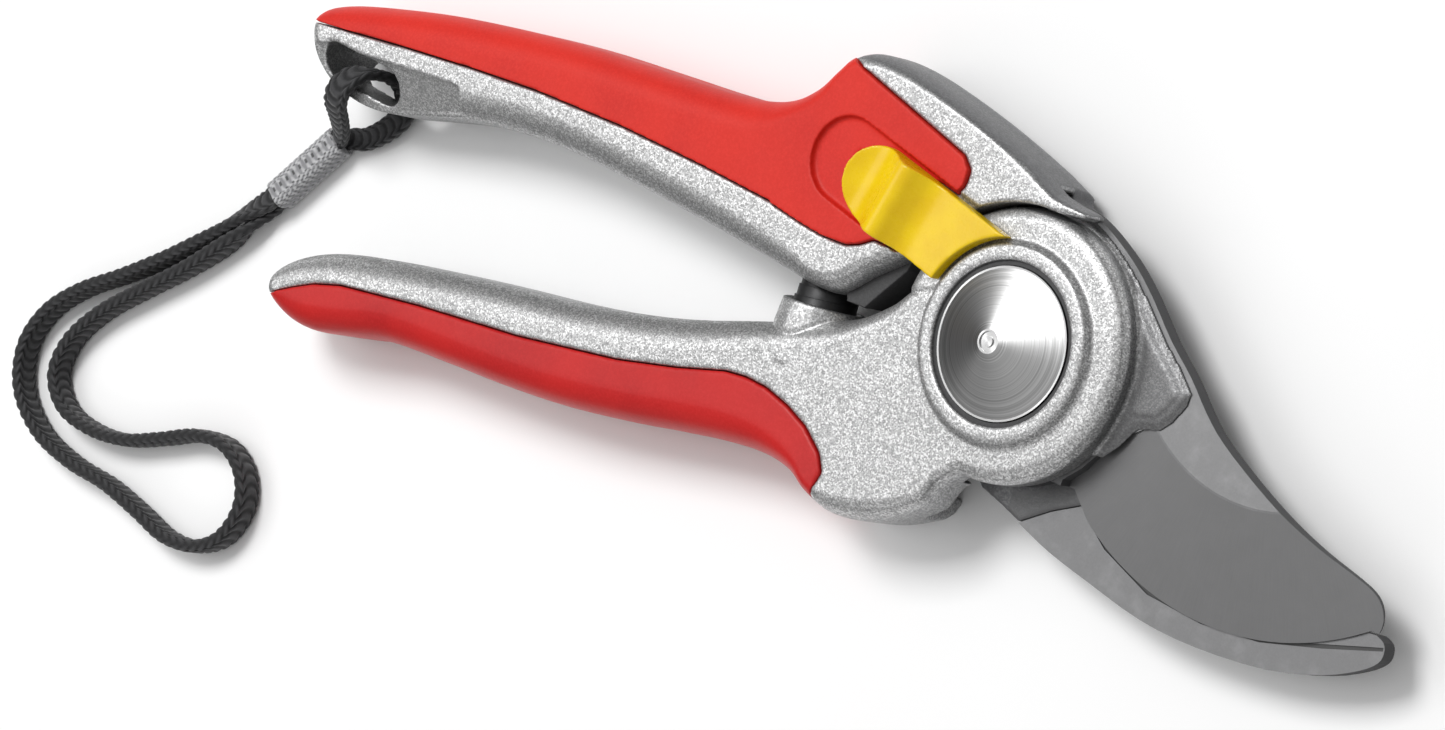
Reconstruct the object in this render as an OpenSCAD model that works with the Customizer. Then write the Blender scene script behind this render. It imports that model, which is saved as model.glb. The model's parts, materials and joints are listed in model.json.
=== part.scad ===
/* [Handles] */
// Thickness of both handles, from the resting face to the front face
handle_t = 16.4; // [15.6:0.1:17]
// Height of the rounding at the front and back edges of the handles
edge_h = 5; // [3:0.1:6]
// How far the upper skin and its panel stand proud of the casting
skin_proud = 0.4; // [0.2:0.1:0.6]
// Width of the parting line between the skins and the castings
parting_w = 0.3; // [0.1:0.05:0.5]

/* [Hub] */
// Outer radius of the hub flange
flange_r = 20.2; // [19.6:0.1:20.4]
// Radius of the raised ring round the pivot nut
boss_r = 14.6; // [14:0.1:15]
// Radius of the recess that the pivot nut sits in
recess_r = 12.15; // [12:0.05:12.4]
// Radius of the turned pivot nut
nut_r = 11.3; // [11:0.05:11.4]
// Height of the nut's shallow cone
nut_cone_h = 3.4; // [2:0.1:4]
// Radius of the pivot bolt's shank
bolt_r = 4; // [3.5:0.1:4.5]
// Running clearance of the pivot
run_gap = 0.05; // [0.02:0.01:0.1]

/* [Blades] */
// Thickness of the cutting blade
blade_t = 2.6; // [2.2:0.1:2.8]
// Thickness of the counter blade
hook_t = 2.8; // [2.4:0.1:3]
// Radius of the curved cutting edge
edge_r = 44; // [43:0.1:45]
// Width of the ground bevel behind the cutting edge
bevel_w = 18; // [16:0.5:18.5]

/* [Lock] */
// Width of the lock slide
slide_w = 11.8; // [11:0.1:12]
// Travel of the lock slide
lock_travel = 7; // [5:0.5:7]

/* [Strap] */
// Width of the flat braided strap
strap_w = 4.8; // [4:0.1:5]
// Thickness of the flat braided strap
strap_t = 2.3; // [1.8:0.1:2.4]

/* [Hidden] */
big = 200;
eps = 0.02;
// Heights of the layers in the hub, from the resting face up
back_z = 2.2;                      // underside of the back plate, above the bolt head
plate_z = 7.9;                     // top of the back plate
hook_z = 8.0;                      // shearing face of the counter blade
blade_z = 8.1;                     // underside of the cutting blade
tang_z = blade_z + blade_t + 0.05; // underside of the front casting over the blade
ledge_z = 15.5;                    // top of the hub flange
boss_z = 17;                       // top of the raised ring
sweep_z = 11.8;                    // height up to which the blade sweeps under the head
nut_z = 13.4;                      // underside of the pivot nut
panel_z = 14.6;                    // floor of the inlaid panel on the head
recess_z = 15.8;                   // floor of the recess that the slide moves in
slide_z = recess_z + 0.1;
// Radii round the pivot
hood_r = 20.6;                     // edge of the head that hugs the flange
sweep_r = 23.2;                    // pocket in the head for the blade's back
plate_r = 19;                      // back plate
neck_r = 21.7;                     // where the lower handle gets its full thickness
bush_r = 5.5;
blade_bush_r = 7;
// The slide moves along a line that leans 16.9 degrees from -X towards +Y
slide_angle = -16.9;
slide_y = 7.4;                     // distance of the slide's middle line from the pivot
slide_rear = -32;                  // middle of the slide's rounded rear end
// Volute spring between the handles
spring_x = -38.4;
mid_z = 8.3;

// Outlines run anticlockwise: x, y and how far the rounded front edge runs in. Where the back
// edge is rounded more, its own run-in and height follow.
// Upper handle: underside, head, nose, the head's back and the handle's back
UPPER = [[-148.4, 13.6, 3], [-147.4, 9.9, 3.5], [-144.9, 6.9, 4], [-141.4, 4.7, 4],
         [-136, 3.4, 4], [-130, 3.4, 4], [-121.2, 4.9, 4.5], [-112, 6.3, 5],
         [-101, 7.0, 5], [-89, 6.6, 5], [-76, 5.0, 5], [-64, 3.3, 5], [-53.5, 1.7, 4.5],
         [-44, 0.1, 4], [-37, -1.1, 3], [-32, -0.5, 3], [-27, 3.4, 2.5], [-18, 9.5, 2],
         [-8, 16, 1.2], [2, 19.8, 0.8], [7.4, 20.4, 0.45], [8.3, 21.2, 0.4],
         [7.2, 21.8, 0.45], [1.5, 22.9, 0.8, 2, 7], [-4.7, 26.2, 1.3, 4, 8],
         [-16.6, 30.6, 1.6, 5.5, 8], [-28.8, 34.0, 2, 5.5, 8], [-36.4, 35, 2.5, 4.5, 8],
         [-40.5, 33.9, 2.5, 3.6, 8], [-43, 31.1, 2.5, 3.6, 8], [-46, 27.7, 3.5, 4.5, 8],
         [-50.3, 24.8, 4, 5, 7.5], [-56.5, 23.2, 5, 5, 6.5], [-66, 22.8, 5],
         [-80, 23.0, 5], [-94.2, 23.1, 5], [-108, 22.5, 5], [-122, 21.4, 5],
         [-135, 19.6, 4.5], [-142.8, 18.1, 4], [-147, 16.4, 3.5]];
// Lower handle: boss, hub side, upper side, rear end and underside
LOWER = [[-29.2, -30.7, 2.5], [-24, -32.3, 3], [-17, -31.4, 3], [-11, -29, 2.5],
         [-6.6, -26, 1.5], [-5, -22.6, 1.5], [-1, -19, 1.5], [4, -12, 2], [2, 0, 2],
         [-8, 6, 2], [-18, 4.5, 2], [-23, 0.4, 3], [-28, -3, 3], [-34, -5.2, 4],
         [-41, -7.2, 4], [-49, -9.2, 4.5], [-58.1, -11.5, 5], [-68, -13.4, 5],
         [-82, -15.2, 5], [-97.8, -16.4, 5], [-111, -17.6, 5], [-123.1, -18.9, 5],
         [-132, -20.4, 4.5], [-138.2, -22.4, 4], [-142.3, -25, 3], [-143.9, -27.8, 2.4],
         [-143, -30.8, 2.6], [-139, -33.1, 4], [-133.6, -33.7, 4.5], [-126, -32.6, 4.5],
         [-117, -31.2, 5], [-104, -31.2, 5], [-92, -31.4, 5], [-79, -31.1, 5],
         [-66, -29.9, 5], [-56, -28.6, 5], [-47, -27.6, 5], [-39.5, -27.4, 4.5],
         [-33.5, -28.5, 3.5]];
// Space behind the seam between casting and skin: the upper skin
UPPER_SEAM = [[-160, 13.7], [-145, 14.0], [-128, 14.4], [-112, 14.5], [-97, 14.2],
              [-79, 13.0], [-62, 11.1], [-46, 8.9], [-45.6, 20], [-43.9, 30.5],
              [-43, 40], [-160, 40]];
// The same for the lower skin
LOWER_SEAM = [[-155, -30.9], [-143.6, -30.3], [-140.6, -29.2], [-137, -27.6],
              [-132.8, -26], [-127.2, -24.8], [-110.3, -23.6], [-89, -22.8],
              [-68.8, -21.0], [-57.3, -19.1], [-48, -17.1], [-44, -16.9],
              [-39.7, -17.4], [-35, -18.9], [-30.8, -20.9], [-27, -24], [-25.6, -26.6],
              [-26.4, -29], [-27.6, -32], [-27.8, -40], [-155, -40]];
// Tongues of the castings inside the skins
UPPER_CORE = [[-139, 13], [-46.5, 5], [-45, 12], [-47, 21], [-56, 19.6], [-70, 19.4],
              [-95, 19.8], [-120, 18.4], [-135, 16.4], [-140.5, 15.2]];
LOWER_CORE = [[-136, -29.4], [-131, -30], [-118, -28], [-92, -28.2], [-66, -26.7],
              [-44, -24.4], [-36, -24.6], [-30, -26], [-28, -23], [-44, -14],
              [-60, -17.5], [-90, -20.8], [-126, -23], [-135, -27.2]];
// Panel inlaid in the head: its outline round the slide's recess
PANEL = [[-47.2, 9.0], [-41, 7.6], [-36.5, 6.8], [-32, 6.6], [-29.6, 7.3], [-27.2, 8.6],
         [-22.6, 8.1], [-19.2, 19.6], [-15.2, 18.5], [-14, 20], [-13.8, 22.4],
         [-15.4, 24.2], [-37.5, 32.2], [-43.4, 34.6], [-45.4, 30.5], [-46.9, 20]];
// Back of the cutting blade from the tang's circle to the tip
SPINE = [[-1.5, 21.8], [2.4, 22], [5.2, 21.5], [8.3, 20.2], [11.8, 18.2], [15.3, 15.8],
         [19.2, 12.4], [23.9, 7.7], [29, 3.4],
         [33, -0.6], [37.1, -3.9], [44.1, -8], [50.5, -11.2], [56.8, -13.7],
         [62.6, -15.5], [65.8, -16.7], [67.6, -18.2], [68.4, -20.2], [68.2, -22.1]];
edge_c = [42.8, 14.8];             // centre of the cutting edge's arc
edge_a0 = -125.5;                  // angles at which the edge starts and ends
edge_a1 = -56.8;
// Side of the blade that the bevel is ground on
BEVEL_SIDE = [[12.7, -16.2], [15.3, -13.8], [17.5, -10.9], [19.4, -8.4], [24, -5.4], [80, 0],
              [80, -40], [10, -40]];
// Counter blade: outer edge, rounded tip, then the inner edge back to the root
HOOK_OUTER = [[5.5, -24.6], [12, -27.1], [20, -29.3], [30.1, -31.8], [40.2, -32.7],
              [52.2, -32.2], [61.1, -30.2], [66.5, -27.9], [69.1, -26], [69.6, -24.4],
              [69.1, -23.1], [67.7, -22.4]];
HOOK_INNER = [[62, -22.8], [54, -24], [45, -24.9], [37, -24.6], [29, -22.6], [23.5, -19.2],
              [20.3, -15]];
HOOK_ROOT = [[18.4, -14.8], [16.1, -18.9], [10.5, -21.5]];
// Clearance in front of the head's back plate, under the nose
NOSE_CUT = [[-0.9, 22], [2.4, 20.4], [6, 18.6], [9, 16.6], [12, 13], [20, 12], [20, 30], [0, 30]];
// Wing of the front casting over the blade's shoulder
WING = [[0, 21.4], [2.4, 21.4], [5, 21], [8, 19.7], [11.4, 17.8], [14.9, 15.3], [18.7, 12],
        [23.4, 7.3], [27.4, 4],
        [30, 1.2], [29.9, -0.4], [28.2, -3.4], [26.4, -5.2], [22.8, -6], [20.9, -8.8],
        [18.4, -11.4], [10, -12], [0, 0]];
// Profile along the middle of the slide: rear end, thumb ridge, flat front part
RIDGE = [[-42, 18.9], [-38.4, 18.7], [-36.4, 18.1], [-34.4, 17.6], [-32.4, 17.8], [-30.6, 18.7],
         [-28.9, 20.1], [-27.6, 20.6], [-26.2, 20.3], [-24.6, 19.1], [-23, 18.1], [-21, 17.7],
         [-17.5, 17.9], [-11, 18.2], [0, 18.2]];
// Strap route: x, y, z, direction of the strap's width, width and thickness factors
EYE_ROUTE = [[-149.8, -7.3, 3.3, 0.77, -0.64, 0, 0.8, 0.75],
             [-146.9, -3.9, 3.4, 0.77, -0.64, 0, 0.8, 0.75],
             [-144.8, -2, 5.8, 0.9, -0.4, 0, 0.85, 0.8],
             [-142.6, 0.3, 9.6, 1, -0.2, 0, 0.9, 0.8],
             [-140.8, 2.5, 13, 1, -0.1, 0, 0.95, 0.8],
             [-139.2, 5.3, 14.4, 1, 0, 0, 1, 0.8],
             [-137.6, 7.9, 13, 1, 0, 0, 1, 0.8],
             [-136.8, 8.5, 9.8, 1, 0, 0, 1, 0.8],
             [-135.9, 8.3, 6.4, 1, 0, 0, 1, 0.8],
             [-135.2, 6.6, 3.4, 1, 0, 0, 1, 0.8],
             [-135.9, 3, 2.1, 1, 0.1, 0, 0.95, 0.8],
             [-138.6, 0, 1.6, 0.9, -0.3, 0, 0.9, 0.8],
             [-142.6, -2.6, 1.3, 0.8, -0.5, 0, 0.85, 0.75],
             [-146.9, -3.9, 1.25, 0.77, -0.64, 0, 0.8, 0.75],
             [-151, -8.7, 1.25, 0.77, -0.64, 0, 0.8, 0.75],
             [-157.7, -16.7, 1.25, 0.77, -0.64, 0.05, 0.8, 0.75]];
LOOP_ROUTE = [[-160.9, -20.9, 1.9, 0.54, -0.45, 0.6, 0.9, 0.85], [-165.5, -26.4, 2.4, 0, 0, 1, 1, 1],
              [-172.8, -32.6, 2.4, 0, 0, 1, 1, 1], [-181, -38.5, 2.4, 0, 0, 1, 1, 1],
              [-189, -44.6, 2.4, 0, 0, 1, 1, 1], [-194.4, -51, 2.4, 0, 0, 1, 1, 1],
              [-195.6, -57.4, 2.4, 0, 0, 1, 1, 1], [-191.4, -62.2, 2.4, 0, 0, 1, 1, 1],
              [-184, -63.9, 2.4, 0, 0, 1, 1, 1], [-176, -63.4, 2.4, 0, 0, 1, 1, 1],
              [-168, -60.9, 2.4, 0, 0, 1, 1, 1], [-160.4, -58.2, 2.4, 0, 0, 1, 1, 1],
              [-153.4, -58, 2.4, 0, 0, 1, 1, 1], [-148.4, -61.2, 2.4, 0, 0, 1, 1, 1],
              [-146.6, -66.6, 2.4, 0, 0, 1, 1, 1], [-149, -72.4, 2.4, 0, 0, 1, 1, 1],
              [-154.4, -75.6, 2.4, 0, 0, 1, 1, 1], [-161.4, -76, 2.4, 0, 0, 1, 1, 1],
              [-169, -73.8, 2.4, 0, 0, 1, 1, 1], [-177.6, -71.6, 2.4, 0, 0, 1, 1, 1],
              [-187, -70.4, 2.4, 0, 0, 1, 1, 1], [-196, -67.6, 2.4, 0, 0, 1, 1, 1],
              [-202.6, -62, 2.4, 0, 0, 1, 1, 1], [-204.4, -54.6, 2.4, 0, 0, 1, 1, 1],
              [-201.2, -47.6, 2.4, 0, 0, 1, 1, 1], [-194.6, -42, 2.4, 0, 0, 1, 1, 1],
              [-186.2, -37.3, 2.4, 0, 0, 1, 1, 1], [-177.6, -32, 2.4, 0, 0, 1, 1, 1],
              [-169.6, -26.2, 2.5, 0.1, -0.1, 1, 1, 1],
              [-163.2, -20.8, 3, 0.5, -0.42, 0.8, 0.9, 0.85],
              [-157.7, -16.7, 3.4, 0.77, -0.64, 0.05, 0.8, 0.75],
              [-154.2, -12.5, 3.3, 0.77, -0.64, 0, 0.8, 0.75]];

// ---- curves and rounded solids -------------------------------------------------------------

// Point at t between b and c on a smooth curve through a, b, c and d
function spline(a, b, c, d, t) =
    0.5 * (2 * b + (c - a) * t + (2 * a - 5 * b + 4 * c - d) * t * t
           + (3 * b - a - 3 * c + d) * t * t * t);
// Closed smooth curve through the points of p
function smooth_loop(p, n) =
    [for (i = [0:len(p) - 1]) for (k = [0:n - 1])
        spline(p[(i + len(p) - 1) % len(p)], p[i], p[(i + 1) % len(p)],
               p[(i + 2) % len(p)], k / n)];
// Open smooth curve through the points of p
function smooth_line(p, n) =
    [for (i = [0:len(p) - 2]) for (k = [0:n - 1])
        spline(p[max(i - 1, 0)], p[i], p[i + 1], p[min(i + 2, len(p) - 1)], k / n),
     p[len(p) - 1]];
// Inward direction at point i of a loop that runs anticlockwise
function inward(p, i) =
    let (d = p[(i + 1) % len(p)] - p[(i + len(p) - 1) % len(p)])
    [-d[1], d[0]] / norm([d[0], d[1]]);
// Every row of an outline with its back edge's run-in and height
function whole(p) = [for (q = p) len(q) == 5 ? q : [q[0], q[1], q[2], q[2], edge_h]];
// The loop p, part of the way (angle a) round its front edge below z1
function front_ring(p, a, z1) =
    [for (i = [0:len(p) - 1])
        let (n = inward(p, i) * (p[i][2] * (1 - sin(a))))
        [p[i][0] + n[0], p[i][1] + n[1], z1 - edge_h * (1 - cos(a))]];
// The same round its back edge above z0
function back_ring(p, a, z0) =
    [for (i = [0:len(p) - 1])
        let (n = inward(p, i) * (p[i][3] * (1 - sin(a))))
        [p[i][0] + n[0], p[i][1] + n[1], z0 + p[i][4] * (1 - cos(a))]];
function arc(c, r, a0, a1, n) =
    [for (k = [0:n]) let (a = a0 + (a1 - a0) * k / n) c + r * [cos(a), sin(a)]];

// Twice the area of triangle a, b, c seen from above
function turn(a, b, c) = (b[0] - a[0]) * (c[1] - a[1]) - (b[1] - a[1]) * (c[0] - a[0]);
// Corner k of the corners left in loop p can be cut off as one triangle
function is_ear(p, left, k) =
    let (n = len(left), a = p[left[(k + n - 1) % n]], b = p[left[k]], c = p[left[(k + 1) % n]])
    turn(a, b, c) > 0
    && len([for (i = left) let (q = p[i])
                if (q != a && q != b && q != c && turn(a, b, q) >= 0 && turn(b, c, q) >= 0
                    && turn(c, a, q) >= 0) i]) == 0;
// Triangles that fill the corners left in loop p, shortest cut first
function fill(p, left) =
    len(left) == 3 ? [left] :
    let (n = len(left),
         cuts = [for (k = [0:n - 1]) if (is_ear(p, left, k))
                     [norm(p[left[(k + 1) % n]] - p[left[(k + n - 1) % n]]), k]],
         least = min([for (c = cuts) c[0]]),
         k = [for (c = cuts) if (c[0] == least) c[1]][0])
    concat([[left[(k + n - 1) % n], left[k], left[(k + 1) % n]]],
           fill(p, [for (i = [0:n - 1]) if (i != k) left[i]]));

// Solid that joins rings of equal length, closed by the triangles in cap at both ends
module stack(rings, cap) {
    n = len(rings[0]);
    points = [for (r = rings) each r];
    walls = [for (k = [0:len(rings) - 2]) for (i = [0:n - 1])
                let (j = (i + 1) % n)
                each [[k * n + i, (k + 1) * n + i, (k + 1) * n + j],
                      [k * n + i, (k + 1) * n + j, k * n + j]]];
    last = (len(rings) - 1) * n;
    polyhedron(points, concat(cap, walls, [for (t = cap) [t[2] + last, t[1] + last, t[0] + last]]));
}

// Slab of outline p with rounded front and back edges
module pebble(p, z0, z1) {
    steps = 3;
    low = [for (k = [0:steps]) back_ring(p, 90 * k / steps, z0)];
    high = [for (k = [steps:-1:0]) front_ring(p, 90 * k / steps, z1)];
    stack(concat(low, high), fill(low[0], [for (i = [0:len(p) - 1]) i]));
}

module on_slide_line() {
    rotate([0, 0, slide_angle]) translate([0, slide_y, 0]) children();
}

module prism(p, z0, z1) {
    translate([0, 0, z0]) linear_extrude(z1 - z0) polygon(p);
}

module disc(r, z0, z1) {
    translate([0, 0, z0]) cylinder(r = r, h = z1 - z0, $fn = 96);
}

// ---- upper handle ---------------------------------------------------------------------------

upper_loop = smooth_loop(whole(UPPER), 2);
lower_loop = smooth_loop(whole(LOWER), 2);

// The eye at the rear end, a slot with round ends through the casting
module eye_hole() {
    translate([-135.8, 8.3, -1]) rotate([0, 0, -8]) {
        for (x = [-5.3, 5.3]) translate([x, 0, 0]) cylinder(r = 3, h = 20, $fn = 48);
        translate([-5.3, -3, 0]) cube([10.6, 6, 20]);
    }
}

// Slanted faces that thin the handle towards the eye's lower rim
module eye_bevels() {
    for (s = [-1, 1])
        translate([-136, 11.5, mid_z + s * 7.4]) rotate([s * 27, 0, 0])
            translate([0, -15, s * 10]) cube([46, 30, 20], center = true);
}

module counter_blade_screw_places() {
    for (p = [[15, -25.3], [27, -27.6], [39, -28.9]]) translate([p[0], p[1], 0]) children();
}

module back_plate() {
    disc(plate_r, back_z, plate_z);
    // between the hub and the head
    prism([[0, 0], [12.2, 7], [12.6, 10], [12.3, 12.6], [11, 14.8], [8.9, 16.8], [6, 18.8],
           [2.4, 20.6], [-0.9, 22.1], [-5, 23], [-14, 26], [-28, 26], [-30, 6], [-25, 6], [-17.5, -1.5]], back_z, plate_z);
    // arm down to the counter blade
    prism([[-10, -14], [-2.4, -21.6], [1.4, -22.9], [5.4, -24.5], [10.4, -21.45],
           [16, -18.85], [18.2, -14.8], [16, -8], [0, 0]], back_z, plate_z);
    prism([[5, -18], [5.6, -24.2], [12, -26.4], [20, -28.5], [30, -30.8], [40, -31.6],
           [44, -31.4], [45.5, -29], [43.5, -26.6], [37, -26], [29, -24.2], [22, -20.4],
           [16.5, -15]], back_z, hook_z - hook_t - eps);
}

// Pocket under the panel in which the lock's tongue slides
module tongue_pocket() {
    on_slide_line() translate([-43, -4.4, 11.9]) cube([25, 8.8, panel_z - 11.9 + eps]);
}

module upper_handle() {
    color("silver") difference() {
        union() {
            difference() {
                pebble(upper_loop, 0, handle_t);
                prism(UPPER_SEAM, -1, big);
                prism(NOSE_CUT, -1, sweep_z);
            }
            prism(UPPER_CORE, 3.1, handle_t - 3.1);
            back_plate();
        }
        translate([0, 0, panel_z]) linear_extrude(9) offset(delta = parting_w / 2) polygon(PANEL);
        disc(hood_r, plate_z, big);
        disc(sweep_r, plate_z, sweep_z);
        disc(bush_r, -1, big);
        disc(sweep_r, -1, back_z);
        disc(11.2, plate_z - 0.3, big);
        eye_hole();
        eye_bevels();
        tongue_pocket();
        // slide's recess where it leaves the panel, and the way out for the tongue
        on_slide_line() translate([-24.5, -6.5, recess_z]) cube([20, 13, 9]);
        on_slide_line() translate([-22, -4.4, 11.9]) cube([10, 8.8, 2.6]);
        // socket for the volute spring
        translate([spring_x, -3, mid_z]) rotate([-90, 0, 0]) cylinder(r = 5.2, h = 8.3, $fn = 64);
        // blind hole for the lock's detent
        on_slide_line() translate([-30, 0, 6]) cylinder(r = 1.3, h = 8, $fn = 32);
        rubber_stop_block();
        counter_blade_screw_places() translate([0, 0, -1]) cylinder(r = 1.6, h = 12, $fn = 32);
        counter_blade_screw_places() translate([0, 0, back_z - eps])
            cylinder(r1 = 3, r2 = 1.6, h = 1.4, $fn = 32);
    }
}

// Outline of the recess in the panel, with room for the slide's travel
module recess_outline() {
    translate([-39.6, 0]) circle(r = 6.5, $fn = 64);
    translate([-39.6, -6.5]) square([39.6, 13]);
}

module upper_grip() {
    color("red") difference() {
        intersection() {
            pebble(upper_loop, 0, handle_t + skin_proud);
            union() {
                translate([-0.7, 0.7, 0] * parting_w) prism(UPPER_SEAM, -1, big);
                prism(PANEL, panel_z, big);
            }
        }
        prism(UPPER_CORE, 3, handle_t - 3);
        on_slide_line() translate([0, 0, recess_z]) linear_extrude(9) recess_outline();
        on_slide_line() translate([-39, -2.2, 10]) cube([40, 4.4, 10]);
    }
}

module rubber_stop_block() {
    prism([[-31.8, -1.6], [-28.4, -1.8], [-21.6, 6.6], [-24, 8.4], [-33, 2]], 4, 12.4);
}

module rubber_stop() {
    color([0.08, 0.08, 0.08]) difference() {
        rubber_stop_block();
        disc(sweep_r, 0, big);
    }
}

// ---- lower handle ---------------------------------------------------------------------------

module blade_screw_places() {
    for (a = [140, 200, 262]) rotate([0, 0, a]) translate([16, 0, 0]) children();
}

// Lathed flange with a raised ring round the nut and sloping shoulders
module hub_flange() {
    rotate_extrude($fn = 96)
        polygon([[blade_bush_r, tang_z], [flange_r, tang_z], [flange_r, 13.6],
                 [19.6, 14.9], [18.4, ledge_z], [15.2, ledge_z + 0.1], [14.8, ledge_z + 0.5],
                 [boss_r, boss_z - 0.3], [boss_r - 0.5, boss_z], [blade_bush_r, boss_z]]);
}

module lower_handle() {
    color("silver") difference() {
        union() {
            difference() {
                union() {
                    difference() {
                        pebble(lower_loop, 0, ledge_z);
                        prism(LOWER_SEAM, -1, big);
                    }
                    prism(LOWER_CORE, 3.1, ledge_z - 3.1);
                    // cup that carries the volute spring
                    translate([spring_x, -13, mid_z]) rotate([-90, 0, 0])
                        cylinder(r1 = 7.4, r2 = 6.5, h = 9.3, $fn = 64);
                }
                disc(neck_r, -1, tang_z);
                intersection() {
                    disc(27.4, -1, blade_z + 0.1);
                    prism([[-17, -50], [40, -50], [40, 0], [-17, 0]], -1, 20);
                }
                prism([[-10.5, -50], [40, -50], [40, 0], [-10.5, 0]], -1, blade_z + 0.1);
            }
            hub_flange();
            prism(WING, tang_z, tang_z + 0.3);
            translate([0, 0, tang_z]) linear_extrude(0.55) offset(delta = -1) polygon(WING);
            translate([0, 0, tang_z]) linear_extrude(0.75) offset(delta = -2.2) polygon(WING);
        }
        disc(recess_r, 12.5, big);
        disc(blade_bush_r, -1, big);
        // notch in the flange for the lock's tongue
        on_slide_line() translate([-21, -4.4, 11.9]) cube([3.4, 8.8, 2.6]);
        translate([spring_x, -10.6, mid_z]) rotate([-90, 0, 0]) cylinder(r = 5.4, h = 12, $fn = 64);
        blade_screw_places() translate([0, 0, tang_z - 1]) cylinder(r = 1.5, h = 4, $fn = 32);
    }
}

module lower_grip() {
    color([0.75, 0.08, 0.1]) difference() {
        intersection() {
            pebble(lower_loop, 0, ledge_z);
            translate([-0.7, -0.7, 0] * parting_w) prism(LOWER_SEAM, -1, big);
        }
        prism(LOWER_CORE, 3, ledge_z - 3);
    }
}

// ---- blades ---------------------------------------------------------------------------------

// Blade of constant thickness with a shallow cone ground off round the cutting edge's centre
module cutting_blade() {
    edge = arc(edge_c, edge_r, edge_a1, edge_a0, 36);
    spine = smooth_line(SPINE, 3);
    outline = concat(arc([0, 0], 20, 98, 302, 26), [[13.6, -17.2]],
                     [for (i = [len(edge) - 1:-1:0]) edge[i]],
                     [for (i = [len(spine) - 1:-1:0]) spine[i]]);
    top = blade_z + blade_t;
    color([0.42, 0.43, 0.44]) difference() {
        prism(outline, blade_z, top);
        intersection() {
            translate([edge_c[0], edge_c[1], 0]) rotate_extrude($fn = 128)
                polygon([[edge_r - bevel_w, top], [edge_r + 1, blade_z + 0.15],
                         [edge_r + 1, top + 1], [edge_r - bevel_w, top + 1]]);
            prism(BEVEL_SIDE, 0, 20);
        }
        disc(blade_bush_r, -1, big);
        blade_screw_places() translate([0, 0, blade_z - 1]) cylinder(r = 1.6, h = 6, $fn = 32);
        blade_screw_places() translate([0, 0, blade_z - eps])
            cylinder(r1 = 3, r2 = 1.6, h = 1.4, $fn = 32);
    }
}

module counter_blade() {
    outline = concat(smooth_line(HOOK_OUTER, 3), smooth_line(HOOK_INNER, 2), HOOK_ROOT);
    color([0.6, 0.61, 0.62]) difference() {
        prism(outline, hook_z - hook_t, hook_z);
        // sap groove along the middle of the shearing face
        prism(concat([[69.4, -24.2], [60, -26.7], [50, -28.9], [40, -29.3], [30, -28],
                      [21, -24], [16.4, -20.4]],
                     [[16.7, -19.8], [21.3, -23.4], [30.2, -27.4], [40, -28.7],
                      [50, -28.3], [59.8, -26.1], [69.3, -23.7]]), hook_z - 0.25, big);
        counter_blade_screw_places() translate([0, 0, -1]) cylinder(r = 1.6, h = 8.4, $fn = 32);
    }
}

module blade_screws() {
    color("gray") blade_screw_places() {
        translate([0, 0, blade_z]) cylinder(r1 = 2.9, r2 = 1.5, h = 1.4, $fn = 32);
        translate([0, 0, blade_z]) cylinder(r = 1.5, h = 5.4, $fn = 32);
    }
}

module counter_blade_screws() {
    color("gray") counter_blade_screw_places() difference() {
        union() {
            translate([0, 0, back_z]) cylinder(r1 = 2.9, r2 = 1.55, h = 1.4, $fn = 32);
            translate([0, 0, back_z]) cylinder(r = 1.55, h = 5, $fn = 32);
        }
        translate([0, 0, back_z - 1]) cylinder(r = 1.2, h = 1.9, $fn = 6);
    }
}

// ---- pivot ----------------------------------------------------------------------------------

module pivot_bolt() {
    color("dimgray") difference() {
        union() {
            rotate_extrude($fn = 96)
                polygon([[0, 0], [8.4, 0], [9.2, 0.6], [9.2, 2.1], [0, 2.1]]);
            disc(bolt_r, 0, 16);
        }
        // two holes for a pin spanner
        for (x = [-6, 6]) translate([x, 0, -1]) cylinder(r = 1.2, h = 2.4, $fn = 32);
    }
}

// Turned nut: a shallow cone with a small centre mark
module pivot_nut() {
    top = boss_z - 0.4;
    color("lightgray") difference() {
        union() {
            disc(nut_r, nut_z, top);
            translate([0, 0, top])
                cylinder(r1 = nut_r - 0.3, r2 = 1.8, h = nut_cone_h, $fn = 96);
        }
        disc(bolt_r, nut_z - 1, 16);
        // ring turned round the centre mark
        difference() {
            disc(1.5, top + nut_cone_h - 0.25, big);
            disc(0.8, top, big);
        }
    }
}

module nut_seal() {
    color([0.06, 0.06, 0.06]) difference() {
        disc(recess_r, 13.6, 16.3);
        disc(nut_r + 0.15, 13, 17);
    }
}

module spring_washer() {
    color("gray") rotate_extrude($fn = 64)
        polygon([[bolt_r + 0.2, 12.95], [9.5, 12.6], [9.5, 13], [bolt_r + 0.2, 13.38]]);
}

module friction_washer() {
    color("white") difference() {
        disc(11, plate_z - 0.3, blade_z - 0.05);
        disc(bush_r + 0.1, 7, 9);
    }
}

module back_bush() {
    color("goldenrod") difference() {
        disc(bush_r, back_z, plate_z);
        disc(bolt_r + run_gap, 0, 10);
    }
}

module blade_bush() {
    color("goldenrod") difference() {
        disc(blade_bush_r, blade_z, 12.5);
        disc(bolt_r + run_gap, 0, 20);
    }
}

// ---- spring ---------------------------------------------------------------------------------

// Volute spring, pressed together: nested coils that step out towards the lower handle
module volute_spring() {
    color([0.12, 0.12, 0.12]) translate([spring_x, 0, mid_z]) rotate([90, 0, 0])
        translate([0, 0, -4.4]) rotate_extrude($fn = 48)
            polygon([[2, 0], [3.7, 0], [3.9, 3.4], [4.2, 3.6], [4.5, 7], [4.8, 7.2],
                     [4.9, 10.4], [5.1, 10.6], [5.1, 13.8], [3.2, 13.8]]);
}

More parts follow.
